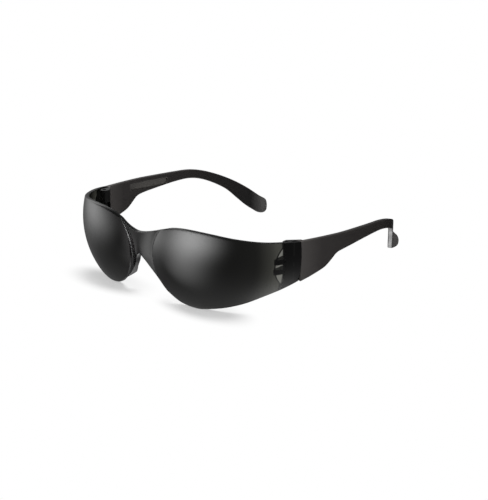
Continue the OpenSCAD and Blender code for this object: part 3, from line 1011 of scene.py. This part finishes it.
# %% Outlines of the hinge block
WEB_ROOT = 2.4
WEB_BACK = 2
WEB_STEP = 0.5
FOOT_WEB = 1.5
FOOT_ROOT = 2.6

web_outline = [
    (PIVOT_X - BARREL_D / 2, PIVOT_Y),
    (PIVOT_X + BARREL_D / 2 - WEB_STEP, PIVOT_Y),
    (PIVOT_X + BARREL_D / 2 - WEB_STEP, panel_y),
    (inner_x + 1.2, panel_y),
    (inner_x + 1.2, panel_y + WEB_ROOT),
    (inner_x + 0.2, panel_y + WEB_ROOT),
    (PIVOT_X - BARREL_D / 2, PIVOT_Y + WEB_BACK),
]
foot_outline = [
    (PIVOT_X - FOOT_WEB, PIVOT_Y + 0.2),
    (PIVOT_X - FOOT_WEB, PIVOT_Y + FOOT_ROOT),
    (inner_x + 0.4, panel_y + FOOT_ROOT),
    (inner_x + 1, panel_y + FOOT_ROOT),
    (inner_x + 1, panel_y + 0.2),
    (inner_x - 0.3, panel_y + 0.2),
    (PIVOT_X + 0.2, panel_y - WEB_BACK),
    (PIVOT_X + 0.2, PIVOT_Y + 0.2),
]
print("the web's outline has", len(web_outline), "corners, its foot's", len(foot_outline))

# %% [markdown]
# The barrel and its foot are joined first, then they join the web, and last the whole block
# joins the temple. The foot reaches a hair into the barrel, so that the two are one solid.

# %% Joining the hinge block
OVERLAP = 0.001
web = prism(web_outline, BLOCK_LOW + FOOT_H / 2, block_top)
barrel = pivot_rod(BARREL_D / 2, foot_z, block_top)
foot = pivot_rod(FOOT_D / 2, BLOCK_LOW, foot_z + OVERLAP, BARREL_D / 2)
carve(barrel, foot, "UNION")
carve(web, barrel, "UNION")
web_foot = prism(foot_outline, BLOCK_LOW + 0.7, BLOCK_LOW + FOOT_H - 0.3)
carve(web, web_foot, "UNION")
carve(temple, web, "UNION")
print("temple with hinge block", len(temple.data.polygons), "faces")

# %% [markdown]
# In front of the panel a groove cuts into the web from below. The photograph shows it as a
# black line, and it leaves the block's top closed.

# %% The groove in front of the panel
GROOVE_W = 1.9
GROOVE_SKIN = 0.1
GROOVE_ROOF = 0.7
groove_end = panel_y - GROOVE_SKIN
groove = oblong(
    (PIVOT_X - BARREL_D, inner_x - GROOVE_SKIN), (groove_end - GROOVE_W, groove_end)
)
carve(temple, prism(groove, BLOCK_LOW - 1, block_top - GROOVE_ROOF))
print("groove", GROOVE_W, "mm wide")

# %% [markdown]
# Two slots in the barrel take the knuckles, with a small gap on every side, and the bore
# takes the pin. Last comes the smooth shading, as on the lens.

# %% Slots for the knuckles, and the bore
PIN_GAP = 0.04
SLOT_REACH = 10
slot = oblong(
    (PIVOT_X - SLOT_REACH, PIVOT_X + SLOT_REACH),
    (PIVOT_Y - SLOT_REACH, PIVOT_Y + BARREL_D / 2 + BARREL_GAP),
)
for low in knuckle_lows:
    carve(temple, prism(slot, low - KNUCKLE_GAP, low + KNUCKLE_T + KNUCKLE_GAP))
carve(temple, pivot_rod(PIN_D / 2 + PIN_GAP, PIN_LOW, block_top + 1))
pick(temple)
bpy.ops.object.shade_smooth_by_angle(angle=CRISP)
print("finished temple", len(temple.data.polygons), "faces")

# %% [markdown]
# The other temple is the mirror image of this one. Its mesh is a copy in which every point
# changes sides. That turns the faces inside out, so they are flipped back.

# %% The other temple
temple_right = temple.copy()
temple_right.data = temple.data.copy()
bpy.context.collection.objects.link(temple_right)
name_it(temple_right, "temple_right_arm")
for vertex in temple_right.data.vertices:
    vertex.co.x = -vertex.co.x
temple_right.data.flip_normals()
for arm, side in ((temple, "left"), (temple_right, "right")):
    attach(arm, f"{side}_arm")
    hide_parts(f"temple_{side}")
print("temples", [len(arm.data.polygons) for arm in (temple, temple_right)], "faces each")

# %% [markdown]
# ## Finishes
# Shader sums are easier to read as plain sums. This small class wraps a socket of a node, so
# that adding or multiplying two of them adds the Math nodes that do it.

# %% Shader sums
class Value:
    """One output of a node, which other nodes or sums can use."""

    def __init__(self, owner, socket):
        self.owner = owner
        self.socket = socket

    def sum(self, operation, a, b=0):
        return self.owner.node("ShaderNodeMath", {"operation": operation}, {0: a, 1: b})

    def __add__(self, other):
        return self.sum("ADD", self, other)

    def __mul__(self, other):
        return self.sum("MULTIPLY", self, other)

    def __sub__(self, other):
        return self.sum("SUBTRACT", self, other)

    def __rsub__(self, other):
        return self.sum("SUBTRACT", other, self)

    def size(self):
        return self.sum("ABSOLUTE", self)

    def least(self, other):
        return self.sum("MINIMUM", self, other)

    def at_least(self, other):
        return self.sum("MAXIMUM", self, other)

    def bell(self):
        """A bell curve: 1 where the value is 0, fading softly on both sides."""
        return self.sum("EXPONENT", -1 * self * self)

    __radd__ = __add__
    __rmul__ = __mul__


print("sums of sockets are ready")

# %% [markdown]
# A material is a tree of nodes, and so is the world. One method adds any node: it sets what
# the node is, then fills or links its sockets. Another one links what comes out at the end.

# %% A tree of nodes
class Nodes:
    """A tree whose nodes are added one by one."""

    def __init__(self, tree, output):
        self.tree = tree
        self.output = output

    def node(self, kind, settings, inputs, output=0):
        node = self.tree.nodes.new(kind)
        for key, value in settings.items():
            if key == "stops":
                self.set_stops(node.color_ramp, value)
            else:
                setattr(node, key, value)
        for key, value in inputs.items():
            self.join(node.inputs[key], value)
        return Value(self, node.outputs[output])

    def set_stops(self, ramp, stops):
        while len(ramp.elements) < len(stops):
            ramp.elements.new(0.5)
        for element, (position, color) in zip(ramp.elements, stops):
            element.position = position
            element.color = (*color, 1)

    def join(self, socket, value):
        if isinstance(value, Value):
            self.tree.links.new(value.socket, socket)
        else:
            socket.default_value = value

    def end(self, socket, value):
        self.join(self.output.inputs[socket], value)


print("trees of nodes are ready")

# %% [markdown]
# A finish is the material of a piece. Its patterns are laid out in the piece's own space, so
# they stay where they are when a temple folds: fine noise, a share of the way along an axis,
# a mask that ends softly, and a ramp that turns such numbers into colours.

# %% A finish and its patterns
class Finish(Nodes):
    """A material that starts from the Principled shader."""

    def __init__(self, name):
        self.material = bpy.data.materials.new(name)
        self.material.use_nodes = True
        tree = self.material.node_tree
        super().__init__(tree, tree.nodes["Material Output"])
        self.shader = tree.nodes["Principled BSDF"]

    def set(self, **inputs):
        """Fill sockets of the shader, with _ in place of the blanks in their names."""
        for key, value in inputs.items():
            self.join(self.shader.inputs[key.replace("_", " ")], value)

    def spot(self):
        """Where a point lies in the piece's own space."""
        return self.node("ShaderNodeTexCoord", {}, {}, "Object")

    def reach(self, axis):
        """How far a point lies along one axis, in millimetres."""
        return self.node("ShaderNodeSeparateXYZ", {}, {0: self.spot()}, axis) * (1 / MM)

    def along(self, axis, start, end):
        """How far a point lies from start to end on one axis, as 0 to 1."""
        inputs = {"Value": self.reach(axis), "From Min": start, "From Max": end}
        return self.node("ShaderNodeMapRange", {}, inputs, "Result")

    def inside(self, value, limit, edge):
        """1 where a value is between -limit and limit, fading to 0 over the edge."""
        inputs = {"Value": value.size(), "From Min": limit, "From Max": limit + edge}
        return 1 - self.node("ShaderNodeMapRange", {}, inputs, "Result")

    def noise(self, scale, detail):
        """Noise from 0 to 1, its scale in features per metre."""
        inputs = {"Vector": self.spot(), "Scale": scale, "Detail": detail}
        return self.node("ShaderNodeTexNoise", {}, inputs, "Fac")

    def bump(self, height, strength, distance):
        inputs = {"Height": height, "Strength": strength, "Distance": distance}
        return self.node("ShaderNodeBump", {}, inputs, "Normal")

    def ramp(self, value, stops):
        return self.node("ShaderNodeValToRGB", {"stops": stops}, {"Fac": value}, "Color")


def dress(obj, finish):
    obj.data.materials.clear()
    obj.data.materials.append(finish.material)
    print(obj.name, "wears", finish.material.name, "of", len(finish.tree.nodes), "nodes")


print("finishes are ready")

# %% [markdown]
# Smoked polycarbonate is clear plastic with the dye all through it. So its surface is clear
# and glossy, and the dark comes from inside: the further light travels in the wall, the less
# comes out. That alone makes the thin window behind the hinge lighter than the rest. The
# tint colour is also set darker at the front and lighter towards the hinges. Where the hinge
# block lies behind it, the tint turns black: painted shade that stands for the dark block.

# %% Smoked polycarbonate
LENS_DYE = (0.12, 0.12, 0.08, 1)
LENS_DENSITY = 1360
LENS_IOR = 1.585
HAZE_SCALE = 90
FADE_START = 12
FADE_END = 43

smoke = Finish("smoked_polycarbonate")
# Painted shade: the last stop turns the lens black where the hinge block lies behind it.
lens_tint_with_painted_shade = smoke.ramp(
    smoke.along("Y", FADE_START - SHIFT, FADE_END - SHIFT),
    [
        (0, (0.05, 0.05, 0.05)),
        (0.3, (0.1, 0.1, 0.1)),
        (0.5, (0.5, 0.5, 0.49)),
        (0.6, (0.9, 0.9, 0.88)),
        (0.69, (0.9, 0.9, 0.88)),
        (0.7, (0.03, 0.03, 0.03)),
    ],
)
smoke.set(
    Base_Color=lens_tint_with_painted_shade,
    Roughness=0.02 + 0.03 * smoke.noise(HAZE_SCALE, detail=3),
    IOR=LENS_IOR,
    Transmission_Weight=1.0,
)
dye = {"Color": LENS_DYE, "Density": LENS_DENSITY}
smoke.end("Volume", smoke.node("ShaderNodeVolumeAbsorption", {}, dye, "Volume"))
dress(lens, smoke)

# %% [markdown]
# The temples are moulded in a dark satin plastic with a hint of brown. A fine grain breaks
# their shine, and slow changes of roughness show where the mould was polished more or less.
# The colour is lighter on the panels. The very ends are lighter too, a painted highlight, and
# the hinge block is nearly black, painted shade. The bare pad is etched, so it looks a little
# lighter as well. Its mask reaches outwards as far as the inner face does, and not to the outer
# one.

# %% Satin charcoal plastic
GRAIN_SCALE = 9000
CLOUD_SCALE = 60
PAD_SHADE = (0.09, 0.084, 0.078, 1)
PAD_RIM = 0.4
INNER_REACH = 1.4
BLOCK_END = 0.5

charcoal = Finish("satin_charcoal")
grain = charcoal.noise(GRAIN_SCALE, detail=2)
cloud = charcoal.noise(CLOUD_SCALE, detail=3)
past_pad = charcoal.reach("Y") - (pad_y - SHIFT)
over_pad = charcoal.reach("Z") + past_pad * math.tan(math.radians(ARM_SLOPE)) - pad_z
on_pad = (
    charcoal.inside(past_pad, limit=PAD_L / 2 - PAD_RIM, edge=0.6)
    * charcoal.inside(over_pad, limit=PAD_H / 2 - PAD_RIM, edge=0.5)
    * charcoal.inside(charcoal.reach("X"), limit=face_x + INNER_REACH, edge=0.4)
)
# Painted light: nearly black at the hinge block for painted shade, light at the very ends for a
# painted highlight.
tone_and_painted_light = charcoal.ramp(
    charcoal.along("Y", panel_y - BLOCK_END - SHIFT, tip_y - SHIFT),
    [
        (0, (0.006, 0.006, 0.006)),
        (0.005, (0.075, 0.069, 0.066)),
        (0.13, (0.036, 0.032, 0.031)),
        (0.5, (0.026, 0.023, 0.022)),
        (0.9, (0.012, 0.011, 0.011)),
        (0.96, (0.09, 0.087, 0.085)),
    ],
)
etched = {0: on_pad, 1: tone_and_painted_light, 2: PAD_SHADE}
charcoal.set(
    Base_Color=charcoal.node("ShaderNodeMixRGB", {}, etched, "Color"),
    Roughness=0.24 + 0.12 * cloud,
    Specular_IOR_Level=0.5,
    Normal=charcoal.bump(grain, strength=0.05, distance=0.02 * MM),
)
for arm in (temple, temple_right):
    dress(arm, charcoal)

# %% [markdown]
# The pins are cut from drawn steel rod, darkened so that they don't catch the eye. Only their
# ends show, in the tops of the hinge blocks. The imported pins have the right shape, so they
# stay and only get a finish: metal with a fine unevenness in its polish.

# %% Pin metal
POLISH_SCALE = 3000

pin_metal = Finish("pin_steel")
pin_metal.set(
    Base_Color=(0.32, 0.32, 0.32, 1),
    Metallic=1.0,
    Roughness=0.28 + 0.15 * pin_metal.noise(POLISH_SCALE, detail=2),
)
for name in ("hinge_pin_left", "hinge_pin_right"):
    for slot in frame["nodes"][name].material_slots:
        slot.material = pin_metal.material
    print(name, "wears", pin_metal.material.name)

# %% [markdown]
# ## The studio
# The floor, a lit card and the world need a few nodes more. They give light themselves, they
# fade over soft ovals, and they treat each kind of ray in its own way, such as a reflection
# or a look through the lens.

# %% Backdrops
WHITE = (1, 1, 1, 1)


class Backdrop(Finish):
    """A finish for what stands round the glasses."""

    def oval(self, spot, centre, radii):
        """The distance of a spot from a centre, in units of an oval's radii."""
        off = self.node("ShaderNodeVectorMath", {"operation": "SUBTRACT"}, {0: spot, 1: centre})
        shrink = {0: off, 1: tuple(1 / r for r in radii)}
        scaled = self.node("ShaderNodeVectorMath", {"operation": "MULTIPLY"}, shrink)
        length = {"operation": "LENGTH"}
        return self.node("ShaderNodeVectorMath", length, {0: scaled}, "Value")

    def light(self, strength):
        inputs = {"Color": WHITE, "Strength": strength}
        return self.node("ShaderNodeEmission", {}, inputs, "Emission")

    def ray(self, kind):
        """1 for one kind of ray, such as Glossy, and 0 for the others."""
        return self.node("ShaderNodeLightPath", {}, {}, f"Is {kind} Ray")

    def seen(self):
        """1 where the camera looks straight, or through the lens."""
        return self.ray("Camera") + self.ray("Transmission")


print("backdrops are ready")

# %% [markdown]
# The glasses lie on white paper, and only two soft crescents of shadow show, one under each
# eye dome. On a light table that happens by itself: the paper glows, so shadows survive only
# where the object nearly touches it. So the floor is a large plane whose shader is a mixture.
# Two ovals mark the crescents, and outside them the paper shines for the camera. The shine
# rises from 45 % half way out in an oval to its full strength a little past the rim.

# %% Floor
FLOOR_SIZE = 12
CRESCENTS = ((0.034, -0.066, 0), (-0.030, -0.069, 0))
CRESCENT_RADII = (0.027, 0.013, 1)

deselect()
bpy.ops.mesh.primitive_plane_add(size=FLOOR_SIZE)
floor = name_it(bpy.context.object, "floor")
paper = Backdrop("white_paper")
paper.set(Base_Color=(0.9, 0.9, 0.9, 1), Roughness=0.9, Specular_IOR_Level=0.1)
left, right = (paper.oval(paper.spot(), centre, CRESCENT_RADII) for centre in CRESCENTS)
outside = paper.node(
    "ShaderNodeMapRange",
    {"interpolation_type": "SMOOTHSTEP"},
    {"Value": left.least(right), "From Min": 0.5, "From Max": 1.3, "To Min": 0.45},
    "Result",
)
bare = Value(paper, paper.shader.outputs[0])
layers = {0: paper.seen() * outside, 1: bare, 2: paper.light(1.0)}
paper.end("Surface", paper.node("ShaderNodeMixShader", {}, layers, "Shader"))
dress(floor, paper)
floor.visible_glossy = False

# %% [markdown]
# A dark glossy lens shows little of its own colour and much of the room. The world is that
# room, and it has no size: it is described by direction alone. So a glow is an oval round
# one direction, which fades like a bell curve.

# %% A world of directions
class Sky(Backdrop):
    """The world's nodes, which are added in the same way."""

    def __init__(self, world):
        world.use_nodes = True
        world.node_tree.nodes.clear()
        output = world.node_tree.nodes.new("ShaderNodeOutputWorld")
        Nodes.__init__(self, world.node_tree, output)


bpy.context.scene.world = bpy.data.worlds.new("studio")
air = Sky(bpy.context.scene.world)
direction = air.node("ShaderNodeTexCoord", {}, {}, "Generated")


def glow(azimuth, elevation, width, height, strength):
    """A soft oval patch of light in one direction of the sky, its sizes in degrees."""
    level = cos(elevation)
    toward = (sin(azimuth) * level, -cos(azimuth) * level, sin(elevation))
    radii = [math.radians(size) for size in (width, width, height)]
    return air.oval(direction, toward, radii).bell() * strength


print("the world starts with", len(air.tree.nodes), "nodes")

# %% [markdown]
# A few soft glows stand for the paper walls and the floor around the set. Two have a negative
# strength. They are what a photographer calls flags, dark cards that keep light out of one
# part of the view. Only reflections see them. What the camera sees directly, or through the
# lens, is white. Dull surfaces get half of that white.

# %% Glows round the set
ROOM_LIGHT = 0.1
SKY_ON_OBJECT = 0.5
reflected = (
    glow(-69, -5, 29, 14, 2.1)
    + glow(-140, -62, 14, 13, 3.8)
    + glow(115, -60, 20, 18, 1.0)
    + glow(-20, -75, 50, 25, 0.25)
    + glow(-105, 22, 22, 14, 2.0)
    + glow(-25, -12, 16, 22, -0.3)
    + glow(178, -22, 35, 22, -0.095)
    + ROOM_LIGHT
).at_least(0)
strength = air.seen() + air.ray("Diffuse") * SKY_ON_OBJECT + air.ray("Glossy") * reflected
sky = {"Color": WHITE, "Strength": strength}
air.end("Surface", air.node("ShaderNodeBackground", {}, sky, "Background"))
print("the world ends with", len(air.tree.nodes), "nodes")

# %% [markdown]
# The main highlight on the near dome is too large and too close for a light far away: it
# slides differently over the two domes. So it comes from a lit card that stands 40 mm in
# front of the lens. Its shine is the sum of three bell curves and clear everywhere else, and
# only reflections show it. Each row gives the middle (x, z) of one bell in millimetres, its
# half width and half height, and its strength.

# %% Light card
CARD_SIZE = 0.24
CARD_X = 23
CARD_Y = -40
CARD_Z = 38
CARD_GLOWS = ((32, 43, 32, 22, 3.9), (14, 30, 30, 44, 2.8), (-16, -14, 26, 24, 0.35))

deselect()
upright = (math.radians(90), 0, 0)
middle = place(CARD_X, CARD_Y, CARD_Z)
bpy.ops.mesh.primitive_plane_add(size=CARD_SIZE, location=middle, rotation=upright)
card = name_it(bpy.context.object, "light_card")
bpy.ops.object.transform_apply(location=True, rotation=True, scale=True)
shine = Backdrop("card_light")
brightness = 0
for x, z, width, height, strength in CARD_GLOWS:
    radii = (width * MM, 1, height * MM)
    away = shine.oval(shine.spot(), tuple(place(x, CARD_Y, z)), radii)
    brightness = away.bell() * strength + brightness
clear = shine.node("ShaderNodeBsdfTransparent", {}, {}, "BSDF")
layers = {0: shine.light(brightness), 1: clear}
shine.end("Surface", shine.node("ShaderNodeAddShader", {}, layers, "Shader"))
dress(card, shine)
card.visible_camera = False
card.visible_diffuse = False
card.visible_transmission = False
card.visible_shadow = False

# %% [markdown]
# One large soft lamp above gives the shadows. It is kept out of reflections, because the card
# and the glows already make those. The Standard view shows each colour about as it is
# written.

# %% Key lamp
KEY_SIZE = 0.8
KEY_WATTS = 9
KEY_PLACE = (0, 0.1, 1.2)

key_data = bpy.data.lights.new("key", "AREA")
key_data.shape = "DISK"
key_data.size = KEY_SIZE
key_data.energy = KEY_WATTS
key = bpy.data.objects.new("key", key_data)
key.location = KEY_PLACE
key.rotation_euler = (-key.location).to_track_quat("-Z", "Y").to_euler()
bpy.context.collection.objects.link(key)
key.visible_glossy = False
bpy.context.scene.view_settings.view_transform = "Standard"
print("key lamp of", KEY_WATTS, "watts")
